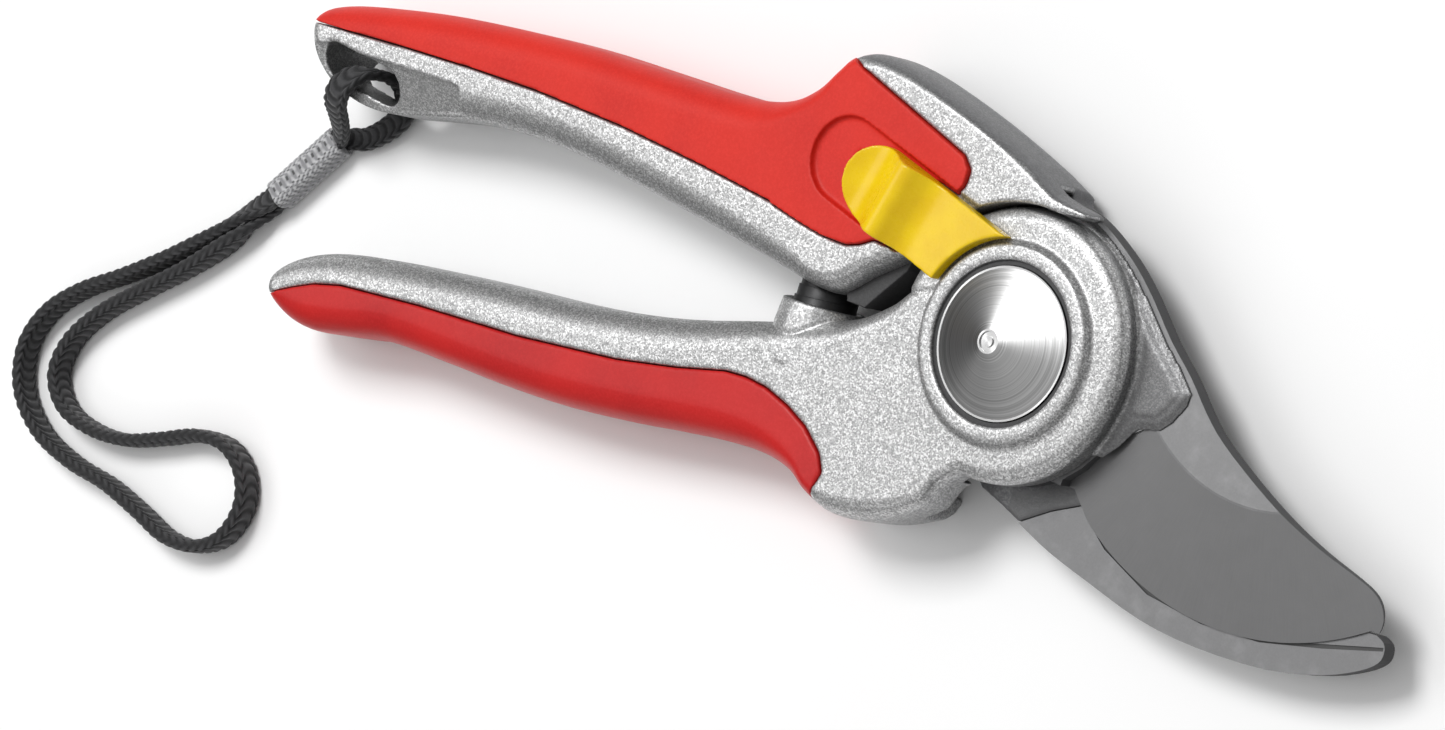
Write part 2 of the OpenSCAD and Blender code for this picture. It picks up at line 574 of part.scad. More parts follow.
module spring_cap() {
    color([0.1, 0.1, 0.1]) translate([spring_x, 5.3, mid_z]) rotate([90, 0, 0]) difference() {
        cylinder(r = 5.2, h = 5, $fn = 64);
        translate([0, 0, 0.9]) cylinder(r = 4.3, h = 6, $fn = 64);
    }
}

module spring_seat() {
    color("gray") translate([spring_x, -9.4, mid_z]) rotate([90, 0, 0]) difference() {
        cylinder(r = 5.4, h = 1.2, $fn = 64);
        translate([0, 0, -1]) cylinder(r = 2, h = 4, $fn = 32);
    }
}

// ---- lock -----------------------------------------------------------------------------------

module slide_outline() {
    difference() {
        union() {
            translate([slide_rear, 0]) circle(r = slide_w / 2, $fn = 64);
            translate([slide_rear, -slide_w / 2]) square([slide_rear * -1 - 6, slide_w]);
        }
        translate([0, -slide_y]) circle(r = 15.3, $fn = 96);
    }
}

module lock_slide() {
    profile = concat(smooth_line(RIDGE, 4), [[0, slide_z], [-42, slide_z]]);
    color("gold") on_slide_line() difference() {
        intersection() {
            translate([0, 0, slide_z]) linear_extrude(8) slide_outline();
            translate([0, slide_w, 0]) rotate([90, 0, 0]) linear_extrude(2 * slide_w) polygon(profile);
        }
        translate([-30, 0, 10]) cylinder(r = 1.8, h = 7.1, $fn = 32);
    }
}

module lock_tongue() {
    color("gray") on_slide_line() difference() {
        translate([-35, -4, 12]) cube([14, 8, 2.4]);
        translate([0, -slide_y, 0]) disc(flange_r + 0.5, 0, big);
        translate([-30, 0, 10]) cylinder(r = 1.8, h = 8, $fn = 32);
    }
}

module lock_rivet() {
    color("silver") on_slide_line() translate([-30, 0, 12]) cylinder(r = 1.8, h = 5.1, $fn = 32);
}

module detent_ball() {
    color("silver") on_slide_line() translate([-30, 0, 10.7]) sphere(r = 1.2, $fn = 32);
}

module detent_spring() {
    color("gray") on_slide_line() translate([-30, 0, 6]) difference() {
        cylinder(r = 1.2, h = 3.5, $fn = 32);
        translate([0, 0, -1]) cylinder(r = 0.8, h = 6, $fn = 32);
    }
}

// ---- strap ----------------------------------------------------------------------------------

// Section of the strap at one route point: a flat bar with cut corners, square to direction d
function strap_ring(q, d) =
    let (w0 = [q[3], q[4], q[5]],
         w1 = w0 - d * (w0 * d),
         w = w1 / norm(w1),
         h = cross(d, w),
         a = strap_w / 2 * q[6],
         b = strap_t / 2 * q[7],
         c = [q[0], q[1], q[2]])
    [for (s = [[1, -0.5], [1, 0.5], [0.8, 1], [-0.8, 1], [-1, 0.5], [-1, -0.5], [-0.8, -1], [0.8, -1]])
        c + w * s[0] * a + h * s[1] * b];

function xyz(q) = [q[0], q[1], q[2]];

module strap_cord() {
    route = smooth_line(concat(EYE_ROUTE, LOOP_ROUTE), 1);
    n = len(route);
    color([0.13, 0.13, 0.14]) stack([for (i = [0:n - 1])
        let (d0 = xyz(route[min(i + 1, n - 1)]) - xyz(route[max(i - 1, 0)]))
        strap_ring(route[i], d0 / norm(d0))], [for (i = [1:6]) [0, i, i + 1]]);
}

module strap_sleeve() {
    color([0.6, 0.6, 0.6]) translate([-152.2, -10.1, 0]) rotate([0, 0, 50]) difference() {
        translate([-7.8, 0, 2.3]) rotate([90, 0, 90]) linear_extrude(15.6)
            offset(r = 0.8, $fn = 16) square([3.6, 3], center = true);
        translate([-9, -2.1, 0.2]) cube([20, 4.2, 4.2]);
    }
}

upper_handle();
upper_grip();
lower_handle();
lower_grip();
cutting_blade();
counter_blade();
pivot_bolt();
pivot_nut();
nut_seal();
spring_washer();
friction_washer();
back_bush();
blade_bush();
blade_screws();
counter_blade_screws();
volute_spring();
spring_cap();
spring_seat();
rubber_stop();
lock_slide();
lock_tongue();
lock_rivet();
detent_ball();
detent_spring();
strap_cord();
strap_sleeve();
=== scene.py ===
"""Pruning shears with a wrist strap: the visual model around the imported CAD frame."""

import json
import math

import bpy
import numpy as np
from mathutils import Matrix, Vector
from mathutils.bvhtree import BVHTree


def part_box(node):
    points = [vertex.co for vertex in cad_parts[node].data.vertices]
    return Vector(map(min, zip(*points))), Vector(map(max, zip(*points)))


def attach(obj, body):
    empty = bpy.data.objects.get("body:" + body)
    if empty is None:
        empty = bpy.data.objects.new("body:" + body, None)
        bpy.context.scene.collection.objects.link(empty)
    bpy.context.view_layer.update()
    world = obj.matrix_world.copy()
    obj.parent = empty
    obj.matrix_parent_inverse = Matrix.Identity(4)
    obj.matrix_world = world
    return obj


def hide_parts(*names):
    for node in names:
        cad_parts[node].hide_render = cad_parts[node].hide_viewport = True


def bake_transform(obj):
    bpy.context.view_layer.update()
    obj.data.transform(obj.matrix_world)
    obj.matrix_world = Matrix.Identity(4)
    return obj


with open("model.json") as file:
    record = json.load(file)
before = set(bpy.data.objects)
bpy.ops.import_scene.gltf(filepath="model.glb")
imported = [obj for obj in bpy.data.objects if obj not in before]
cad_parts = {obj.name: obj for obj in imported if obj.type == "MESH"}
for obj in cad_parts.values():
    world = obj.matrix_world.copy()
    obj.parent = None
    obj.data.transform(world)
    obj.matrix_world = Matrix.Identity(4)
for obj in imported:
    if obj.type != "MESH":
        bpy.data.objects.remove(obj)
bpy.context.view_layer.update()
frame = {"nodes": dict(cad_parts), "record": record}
nodes = frame["nodes"]
MM = 0.001

# ---- camera ---------------------------------------------------------------------------------

right = Vector((0.7474, 0.2669, -0.6084)).normalized()
up = Vector((-0.2644, 0.9596, 0.0961))
up = (up - right * up.dot(right)).normalized()
back = right.cross(up)
place = Vector((0.4214, 0.0522, 0.6230))
camera_data = bpy.data.cameras.new("camera")
camera_data.sensor_width = 36
camera_data.lens = 128.1
camera_data.clip_start = 0.01
camera = bpy.data.objects.new("camera", camera_data)
camera.matrix_world = Matrix((
    (right.x, up.x, back.x, place.x),
    (right.y, up.y, back.y, place.y),
    (right.z, up.z, back.z, place.z),
    (0, 0, 0, 1),
))
bpy.context.scene.collection.objects.link(camera)
bpy.context.scene.camera = camera

# ---- mesh helpers ---------------------------------------------------------------------------


def new_piece(name, points, faces, smooth=True):
    mesh = bpy.data.meshes.new(name)
    mesh.from_pydata([tuple(p) for p in points], [], faces)
    mesh.update()
    if smooth:
        mesh.shade_smooth()
    piece = bpy.data.objects.new(name, mesh)
    bpy.context.scene.collection.objects.link(piece)
    return piece


def spline(a, b, c, d, t):
    return 0.5 * (2 * b + (c - a) * t + (2 * a - 5 * b + 4 * c - d) * t * t
                  + (3 * b - a - 3 * c + d) * t ** 3)


def closed_curve(points, n):
    p = np.array(points, float)
    m = len(p)
    return np.array([spline(p[i - 1], p[i], p[(i + 1) % m], p[(i + 2) % m], k / n)
                     for i in range(m) for k in range(n)])


def open_curve(points, n):
    p = np.array(points, float)
    m = len(p)
    rows = [spline(p[max(i - 1, 0)], p[i], p[i + 1], p[min(i + 2, m - 1)], k / n)
            for i in range(m - 1) for k in range(n)]
    return np.array(rows + [p[-1]])


def grid_faces(rings, around):
    """Faces that join closed rings of points, each ring to the next."""
    return [(r * around + i, r * around + (i + 1) % around,
             (r + 1) * around + (i + 1) % around, (r + 1) * around + i)
            for r in range(rings - 1) for i in range(around)]


def pebble_tree(outline, z0, z1, edge, n=8, steps=12):
    """Surface of the rounded slab that a handle is cast as, finely stepped."""
    p = closed_curve([q if len(q) == 5 else (*q, q[2], edge) for q in outline], n)
    along = np.roll(p[:, :2], -1, 0) - np.roll(p[:, :2], 1, 0)
    along /= np.linalg.norm(along, axis=1)[:, None]
    inward = np.stack([-along[:, 1], along[:, 0]], 1)
    rings = []
    for k in range(2 * steps + 2):
        at_back = k <= steps
        a = math.pi / 2 * (k if at_back else 2 * steps + 1 - k) / steps
        xy = p[:, :2] + inward * (p[:, 3 if at_back else 2] * (1 - math.sin(a)))[:, None]
        rise = 1 - math.cos(a)
        z = z0 + p[:, 4] * rise if at_back else np.full(len(p), z1 - edge * rise)
        rings.append(np.column_stack([xy, z]))
    points = np.concatenate(rings) * MM
    return BVHTree.FromPolygons([tuple(q) for q in points],
                                grid_faces(len(rings), len(p)))


SNAP_REACH = 0.55  # mm, how far off the tree a point may lie and still be drawn to it
SNAP_FADE = 3  # mm, length over which the drawing fades out towards the front
SNAP_GAIN = 2.2  # points nearer than about half the reach are drawn fully


def softened(node, voxel, rounds, tree=None, front=0.0):
    """Copy of a CAD node with softly rounded edges; behind x = front its skin lies on tree."""
    source = nodes[node]
    piece = bpy.data.objects.new(node + "_shape", source.data.copy())
    bpy.context.scene.collection.objects.link(piece)
    remesh = piece.modifiers.new("remesh", "REMESH")
    remesh.mode = "VOXEL"
    remesh.voxel_size = voxel * MM
    smooth = piece.modifiers.new("smooth", "SMOOTH")
    smooth.factor = 0.5
    smooth.iterations = rounds
    graph = bpy.context.evaluated_depsgraph_get()
    mesh = bpy.data.meshes.new_from_object(piece.evaluated_get(graph))
    piece.modifiers.clear()
    piece.data = mesh
    mesh.materials.clear()
    co = np.zeros(len(mesh.vertices) * 3)
    mesh.vertices.foreach_get("co", co)
    co = co.reshape(-1, 3)
    if tree is not None:
        far = SNAP_REACH * MM
        for i, c in enumerate(co):
            if c[0] > front * MM:
                continue
            hit, normal, _, gap = tree.find_nearest(Vector(c), far)
            if hit is not None:
                behind = (front * MM - c[0]) / (SNAP_FADE * MM)
                share = min(1.0, SNAP_GAIN * (1 - gap / far), behind)
                away = np.array(normal)
                co[i] = c + away * ((np.array(hit) - c) @ away) * share
    lowest, highest = (np.array(v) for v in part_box(node))
    co = np.clip(co, lowest, highest)
    mesh.vertices.foreach_set("co", co.ravel())
    mesh.update()
    mesh.shade_smooth()
    body = next(b for b, members in frame["record"]["behaviour"]["bodies"].items()
                if node in members)
    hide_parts(node)
    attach(piece, body)
    return piece


# ---- material helpers -----------------------------------------------------------------------


class Surface:
    """A node material: self.node() adds a node, self.link() joins two sockets."""

    def __init__(self, name, **fixed):
        self.material = bpy.data.materials.new(name)
        self.material.use_nodes = True
        self.tree = self.material.node_tree
        self.tree.nodes.clear()
        self.out = self.tree.nodes.new("ShaderNodeOutputMaterial")
        self.shader = self.tree.nodes.new("ShaderNodeBsdfPrincipled")
        self.link(self.shader.outputs[0], self.out.inputs["Surface"])
        for key, value in fixed.items():
            self.shader.inputs[key.replace("_", " ")].default_value = value
        self.place = self.node("ShaderNodeTexCoord").outputs["Object"]

    def node(self, kind, inputs=None, **settings):
        n = self.tree.nodes.new(kind)
        for key, value in settings.items():
            setattr(n, key, value)
        for key, value in (inputs or {}).items():
            if isinstance(value, bpy.types.NodeSocket):
                self.link(value, n.inputs[key])
            else:
                n.inputs[key].default_value = value
        return n

    def link(self, a, b):
        self.tree.links.new(a, b)

    def math(self, op, a, b=0.0, c=0.0):
        return self.node("ShaderNodeMath", {0: a, 1: b, 2: c}, operation=op).outputs[0]

    def vector(self, op, a, b=(0, 0, 0)):
        n = self.node("ShaderNodeVectorMath", {0: a, 1: b}, operation=op)
        return n.outputs["Value"] if op == "LENGTH" else n.outputs[0]

    def axes(self, vector):
        return self.node("ShaderNodeSeparateXYZ", {0: vector}).outputs

    def facing(self):
        """Components of the face's own normal."""
        return self.axes(self.node("ShaderNodeNewGeometry").outputs["True Normal"])

    def stretch(self, size):
        """The place, counted in features of the given sizes in millimetres."""
        return self.vector("MULTIPLY", self.place, tuple(1 / (s * MM) for s in size))

    def rings(self, radius, per_metre, detail):
        """Noise that changes only with the radius."""
        inputs = {"W": self.math("MULTIPLY", radius, per_metre), "Scale": 1.0, "Detail": detail}
        return self.node("ShaderNodeTexNoise", inputs, noise_dimensions="1D").outputs[0]

    def noise(self, size, detail=2.0, rough=0.5, at=None):
        size = size if isinstance(size, tuple) else (size,) * 3
        vector = at if at is not None else self.stretch(size)
        return self.node("ShaderNodeTexNoise", {"Vector": vector, "Scale": 1.0,
                                                "Detail": detail, "Roughness": rough}).outputs[0]

    def ramp(self, value, *stops):
        """Soft ramp through stops, each a position and a grey level."""
        n = self.node("ShaderNodeValToRGB", {0: value})
        n.color_ramp.interpolation = "EASE"
        while len(n.color_ramp.elements) < len(stops):
            n.color_ramp.elements.new(0.5)
        for element, (at, level) in zip(n.color_ramp.elements, stops):
            element.position = at
            element.color = (level, level, level, 1)
        return n.outputs[0]

    def mix(self, share, a, b):
        n = self.node("ShaderNodeMix", data_type="RGBA")
        for index, value in ((0, share), (6, a), (7, b)):
            if isinstance(value, bpy.types.NodeSocket):
                self.link(value, n.inputs[index])
            elif index:
                n.inputs[index].default_value = (*value, 1)
            else:
                n.inputs[0].default_value = value
        return n.outputs[2]

    def bump(self, height, depth, strength=1.0, base=None):
        """Bump of the given depth in millimetres."""
        inputs = {"Height": height, "Distance": depth * MM, "Strength": strength}
        if base is not None:
            inputs["Normal"] = base
        return self.node("ShaderNodeBump", inputs).outputs[0]

    def set(self, **sockets):
        for key, value in sockets.items():
            self.link(value, self.shader.inputs[key.replace("_", " ")])
        return self.material


def paint(piece, surface):
    piece.data.materials.clear()
    piece.data.materials.append(surface)


# ---- materials ------------------------------------------------------------------------------


HEAD_REAR, HEAD_LOW = -0.0440, 0.0195  # x and y past which a casting is the head
ARM_TOP, ARM_REAR = 0.0081, -0.0100  # the back plate's arm lies below and in front of these
WING_TOP, WING_REAR = 0.0130, 0.0030  # the wing lies below and in front of these
FLANGE_R = 0.0202  # radius of the hub flange
WING_FADE = 0.0006  # width over which the flange's tone turns into the painted shade on the wing


def silver_cast():
    """Hammered silver paint, with painted shade on the head's outer wall, back plate's arm, steep sides
    and wing.
    """
    s = Surface("silver_cast", IOR=1.5)
    cells = s.node("ShaderNodeTexVoronoi", {"Vector": s.stretch((0.22, 0.22, 0.22)),
                                            "Scale": 1.0}, feature="F1")
    flake = s.node("ShaderNodeSeparateColor", {0: cells.outputs["Color"]}).outputs[0]
    grain = s.noise(0.2, 3.0, 0.6)
    broad = s.noise(12.0, 2.0, 0.5)
    tone = s.math("MULTIPLY_ADD", flake, 0.5, s.math("MULTIPLY", grain, 0.5))
    base = s.ramp(tone, (0.25, 0.27), (0.5, 0.43), (0.72, 0.74))
    base = s.mix(s.math("MULTIPLY", broad, 0.2), base, (0.40, 0.405, 0.415))
    x, y, z = s.axes(s.place)
    facing = s.facing()
    # outer wall of the head: faces away from the pivot, above the back of the handle; it gets painted
    # shade
    head = s.math("MULTIPLY", s.math("GREATER_THAN", x, HEAD_REAR),
                  s.math("GREATER_THAN", y, HEAD_LOW))
    wall = s.math("MULTIPLY", s.ramp(facing[1], (0.55, 0.0), (0.80, 1.0)), head)
    # the back plate's arm below the blade gets painted shade as well
    arm = s.math("MULTIPLY", s.math("LESS_THAN", z, ARM_TOP),
                 s.math("GREATER_THAN", x, ARM_REAR))
    # smooth marks where painted shade goes: a near-black colour and less metal on the wall and the arm
    smooth = s.math("MAXIMUM", wall, arm)
    base = s.mix(s.math("MULTIPLY", smooth, 0.88), base, (0.085, 0.086, 0.09))
    # painted shade on steep sides: the steeper the face, the darker its colour
    side = s.ramp(s.math("ABSOLUTE", facing[2]), (0.12, 1.0), (0.5, 0.0))
    base = s.mix(s.math("MULTIPLY", side, 0.5), base, (0.15, 0.151, 0.156))
    # wing over the blade's shoulder, darker than the flange: painted shade outside the flange's edge
    reach = s.vector("LENGTH", s.vector("MULTIPLY", s.place, (1, 1, 0)))
    outside = s.math("DIVIDE", s.math("SUBTRACT", reach, FLANGE_R), WING_FADE)
    wing = s.math("MULTIPLY", s.math("LESS_THAN", z, WING_TOP),
                  s.ramp(outside, (0.0, 0.0), (1.0, 1.0)))
    wing = s.math("MULTIPLY", wing, s.math("GREATER_THAN", x, WING_REAR))
    base = s.mix(s.math("MULTIPLY", wing, 0.85), base, (0.11, 0.11, 0.112))
    metallic = s.math("MULTIPLY_ADD", smooth, -0.35, 0.80)
    rough = s.math("MULTIPLY_ADD", flake, -0.16, 0.50)
    pits = s.bump(grain, 0.04, 0.7)
    lumps = s.bump(s.noise(0.36, 2.0, 0.5), 0.035, 0.5, pits)
    return s.set(Base_Color=base, Metallic=metallic, Roughness=rough, Normal=lumps)


def red_skin(name, colour, deep, rough, grain_depth):
    s = Surface(name, IOR=1.48)
    s.shader.inputs["Specular IOR Level"].default_value = 0.3
    fine = s.noise(0.16, 2.0, 0.6)
    broad = s.noise(14.0, 2.0, 0.5)
    base = s.mix(s.ramp(broad, (0.3, 0.0), (0.75, 1.0)), colour, deep)
    mottle = s.ramp(s.noise(0.45, 3.0, 0.7), (0.35, 0.0), (0.75, 0.30))
    base = s.mix(mottle, base, tuple(min(1.0, c * 1.25 + 0.02) for c in colour))
    roughness = s.math("MULTIPLY_ADD", s.noise(2.2, 3.0, 0.6), 0.12, rough - 0.06)
    return s.set(Base_Color=base, Roughness=roughness, Normal=s.bump(fine, grain_depth, 0.6))


def yellow_gloss():
    s = Surface("yellow_gloss", IOR=1.49)
    s.shader.inputs["Specular IOR Level"].default_value = 0.35
    s.shader.inputs["Coat Weight"].default_value = 0.06
    s.shader.inputs["Coat Roughness"].default_value = 0.12
    broad = s.noise(5.0, 2.0, 0.5)
    base = s.mix(s.ramp(broad, (0.3, 0.0), (0.7, 1.0)), (0.80, 0.55, 0.0), (0.75, 0.49, 0.0))
    scuff = s.ramp(s.noise((1.2, 0.4, 0.5), 4.0, 0.7), (0.66, 0.0), (0.85, 0.18))
    base = s.mix(scuff, base, (0.93, 0.72, 0.05))
    rough = s.math("MULTIPLY_ADD", s.noise(0.9, 3.0, 0.6), 0.14, 0.21)
    return s.set(Base_Color=base, Roughness=rough, Normal=s.bump(s.noise(0.5, 2.0), 0.012, 0.5))


GRIND_DEPTH = 0.04 * MM  # a face lower than this under the blade's top counts as ground


def blade_steel(name, ground, bare, centre, top):
    """Steel with a ground field, told from the un-ground face by its lower height."""
    s = Surface(name, IOR=1.5)
    level = s.math("LESS_THAN", s.axes(s.place)[2], top - GRIND_DEPTH)
    # grinding strokes run round the centre
    flat = s.vector("MULTIPLY", s.vector("SUBTRACT", s.place, centre), (1, 1, 0))
    radius = s.vector("LENGTH", flat)
    x, y, _ = s.axes(flat)
    angle = s.math("ARCTAN2", y, x)
    polar = s.node("ShaderNodeCombineXYZ", {0: s.math("MULTIPLY", radius, 180.0),
                                            1: s.math("MULTIPLY", angle, 260.0)}).outputs[0]
    strokes = s.noise(1.0, 4.0, 0.65, at=polar)
    cloud = s.noise(3.5, 3.0, 0.6)
    sand = s.noise(0.3, 3.0, 0.6)
    dark = s.mix(s.math("MULTIPLY", strokes, 0.5), ground, tuple(c * 0.72 for c in ground))
    dark = s.mix(s.math("MULTIPLY", cloud, 0.35), dark, tuple(c * 1.25 for c in ground))
    pale = s.mix(s.math("MULTIPLY", sand, 0.6), bare, tuple(c * 0.70 for c in bare))
    pale = s.mix(s.ramp(cloud, (0.45, 0.0), (0.8, 0.5)), pale, tuple(c * 1.3 for c in bare))
    # the lower field takes the ground colour; on the counter blade that colour is near-black painted
    # shade
    base = s.mix(level, pale, dark)
    # painted shade on steep faces such as the spine: near-black, rougher and less metal
    side = s.ramp(s.math("ABSOLUTE", s.facing()[2]), (0.25, 1.0), (0.5, 0.0))
    base = s.mix(s.math("MULTIPLY", side, 0.85), base, (0.045, 0.045, 0.047))
    rough = s.math("MULTIPLY_ADD", side, 0.25, s.math("MULTIPLY_ADD", strokes, 0.14, 0.40))
    metal = s.math("MULTIPLY_ADD", side, -0.6, 0.85)
    normal = s.bump(strokes, 0.012, 0.5)
    normal = s.bump(sand, 0.02, 0.35, normal)
    return s.set(Base_Color=base, Metallic=metal, Roughness=rough, Normal=normal)


def turned_metal():
    s = Surface("turned_metal", Metallic=1.0, Anisotropic=0.82)
    radius = s.vector("LENGTH", s.vector("MULTIPLY", s.place, (1, 1, 0)))
    rings = s.rings(radius, 5200.0, 3.0)
    tone = s.math("MULTIPLY_ADD", rings, 0.6, s.math("MULTIPLY", s.rings(radius, 1500.0, 2.0), 0.4))
    base = s.ramp(tone, (0.3, 0.36), (0.5, 0.50), (0.72, 0.62))
    rough = s.math("MULTIPLY_ADD", rings, 0.12, 0.27)
    s.link(s.node("ShaderNodeTangent", direction_type="RADIAL", axis="Z").outputs[0],
           s.shader.inputs["Tangent"])
    return s.set(Base_Color=base, Roughness=rough, Normal=s.bump(tone, 0.008, 0.5))


def dark_metal(name, colour, rough, size=0.4, metallic=0.9):
    s = Surface(name, Metallic=metallic)
    grain = s.noise(size, 4.0, 0.6)
    base = s.mix(s.ramp(grain, (0.3, 0.0), (0.75, 1.0)), tuple(c * 0.75 for c in colour), colour)
    roughness = s.math("MULTIPLY_ADD", grain, 0.2, rough - 0.1)
    return s.set(Base_Color=base, Roughness=roughness, Normal=s.bump(grain, 0.015, 0.5))


def plain_polymer(name, colour, rough):
    s = Surface(name)
    grain = s.noise(0.3, 3.0, 0.6)
    lighter = tuple(c * 1.5 + 0.004 for c in colour)
    base = s.mix(s.ramp(grain, (0.35, 0.0), (0.75, 1.0)), colour, lighter)
    roughness = s.math("MULTIPLY_ADD", grain, 0.16, rough - 0.08)
    return s.set(Base_Color=base, Roughness=roughness, Normal=s.bump(grain, 0.02, 0.5))


ROWS_PER_MM, DASHES_PER_MM = 1.9, 0.62
DASH_LENGTH, DASH_HALF_WIDTH = 0.30, 0.24  # shares of a dash's spacing and of a row


def yarn(name, dark, light, dashes=None):
    """Braid: the UV map counts millimetres round the strap and along it."""
    s = Surface(name, Roughness=0.82)
    s.shader.inputs["Sheen Weight"].default_value = 0.25
    s.shader.inputs["Sheen Roughness"].default_value = 0.45
    uv = s.node("ShaderNodeTexCoord").outputs["UV"]
    fibres = s.noise(1.0, 3.0, 0.7, at=s.vector("MULTIPLY", uv, (9.0, 3.0, 1.0)))
    lift = s.node("ShaderNodeAttribute", attribute_name="lift").outputs["Fac"]
    # painted shade: the colour darkens from the stitches' crowns into the valleys between them
    base = s.mix(s.ramp(lift, (0.15, 0.0), (0.9, 1.0)), dark, light)
    base = s.mix(s.math("MULTIPLY", fibres, 0.5), base, tuple(c * 0.55 for c in dark))
    if dashes is not None:
        u, v, _ = s.axes(uv)
        rows = s.math("MULTIPLY", u, ROWS_PER_MM)
        shifted = s.math("MULTIPLY_ADD", s.math("FLOOR", rows), 0.5,
                         s.math("MULTIPLY", v, DASHES_PER_MM))
        from_middle = s.math("ABSOLUTE", s.math("SUBTRACT", s.math("FRACT", rows), 0.5))
        dash = s.math("MULTIPLY", s.math("LESS_THAN", s.math("FRACT", shifted), DASH_LENGTH),
                      s.math("LESS_THAN", from_middle, DASH_HALF_WIDTH))
        base = s.mix(s.math("MULTIPLY", dash, 0.8), base, dashes)
    return s.set(Base_Color=base, Normal=s.bump(fibres, 0.04, 0.6))


# ---- strap ----------------------------------------------------------------------------------

STRAP_W, STRAP_T = 4.8, 2.3
# x, y, z, direction of the width, width and thickness factors, as in the CAD model
ROUTE = [
    (-149.8, -7.3, 3.3, 0.77, -0.64, 0, 0.8, 0.75), (-146.9, -3.9, 3.4, 0.77, -0.64, 0, 0.8, 0.75),
    (-144.8, -2, 5.8, 0.9, -0.4, 0, 0.85, 0.8), (-142.6, 0.3, 9.6, 1, -0.2, 0, 0.9, 0.8),
    (-140.8, 2.5, 13, 1, -0.1, 0, 0.95, 0.8), (-139.2, 5.3, 14.4, 1, 0, 0, 1, 0.8),
    (-137.6, 7.9, 13, 1, 0, 0, 1, 0.8), (-136.8, 8.5, 9.8, 1, 0, 0, 1, 0.8),
    (-135.9, 8.3, 6.4, 1, 0, 0, 1, 0.8), (-135.2, 6.6, 3.4, 1, 0, 0, 1, 0.8),
    (-135.9, 3, 2.1, 1, 0.1, 0, 0.95, 0.8), (-138.6, 0, 1.6, 0.9, -0.3, 0, 0.9, 0.8),
    (-142.6, -2.6, 1.3, 0.8, -0.5, 0, 0.85, 0.75), (-146.9, -3.9, 1.25, 0.77, -0.64, 0, 0.8, 0.75),
    (-151, -8.7, 1.25, 0.77, -0.64, 0, 0.8, 0.75), (-157.7, -16.7, 1.25, 0.77, -0.64, 0.05, 0.8, 0.75),
    (-160.9, -20.9, 1.9, 0.54, -0.45, 0.6, 0.9, 0.85), (-165.5, -26.4, 2.4, 0, 0, 1, 1, 1),
    (-172.8, -32.6, 2.4, 0, 0, 1, 1, 1), (-181, -38.5, 2.4, 0, 0, 1, 1, 1),
    (-189, -44.6, 2.4, 0, 0, 1, 1, 1), (-194.4, -51, 2.4, 0, 0, 1, 1, 1),
    (-195.6, -57.4, 2.4, 0, 0, 1, 1, 1), (-191.4, -62.2, 2.4, 0, 0, 1, 1, 1),
    (-184, -63.9, 2.4, 0, 0, 1, 1, 1), (-176, -63.4, 2.4, 0, 0, 1, 1, 1),
    (-168, -60.9, 2.4, 0, 0, 1, 1, 1), (-160.4, -58.2, 2.4, 0, 0, 1, 1, 1),
    (-153.4, -58, 2.4, 0, 0, 1, 1, 1), (-148.4, -61.2, 2.4, 0, 0, 1, 1, 1),
    (-146.6, -66.6, 2.4, 0, 0, 1, 1, 1), (-149, -72.4, 2.4, 0, 0, 1, 1, 1),
    (-154.4, -75.6, 2.4, 0, 0, 1, 1, 1), (-161.4, -76, 2.4, 0, 0, 1, 1, 1),
    (-169, -73.8, 2.4, 0, 0, 1, 1, 1), (-177.6, -71.6, 2.4, 0, 0, 1, 1, 1),
    (-187, -70.4, 2.4, 0, 0, 1, 1, 1), (-196, -67.6, 2.4, 0, 0, 1, 1, 1),
    (-202.6, -62, 2.4, 0, 0, 1, 1, 1), (-204.4, -54.6, 2.4, 0, 0, 1, 1, 1),
    (-201.2, -47.6, 2.4, 0, 0, 1, 1, 1), (-194.6, -42, 2.4, 0, 0, 1, 1, 1),
    (-186.2, -37.3, 2.4, 0, 0, 1, 1, 1), (-177.6, -32, 2.4, 0, 0, 1, 1, 1),
    (-169.6, -26.2, 2.5, 0.1, -0.1, 1, 1, 1), (-163.2, -20.8, 3, 0.5, -0.42, 0.8, 0.9, 0.85),
    (-157.7, -16.7, 3.4, 0.77, -0.64, 0.05, 0.8, 0.75), (-154.2, -12.5, 3.3, 0.77, -0.64, 0, 0.8, 0.75),
]


def even_steps(rows, step):
    """The rows of a curve, evenly spaced along its first three columns."""
    run = np.concatenate([[0], np.cumsum(np.linalg.norm(np.diff(rows[:, :3], axis=0), axis=1))])
    count = int(run[-1] / step)
    at = np.linspace(0, run[-1], count + 1)
    return np.stack([np.interp(at, run, rows[:, k]) for k in range(rows.shape[1])], 1), at


SIDE_POWER, FACE_POWER = 0.42, 0.67  # below 1, the braid's section is squarer than an ellipse
STITCH_LEAN = 0.55  # slope of the V of a stitch, in pitches from its middle to its side


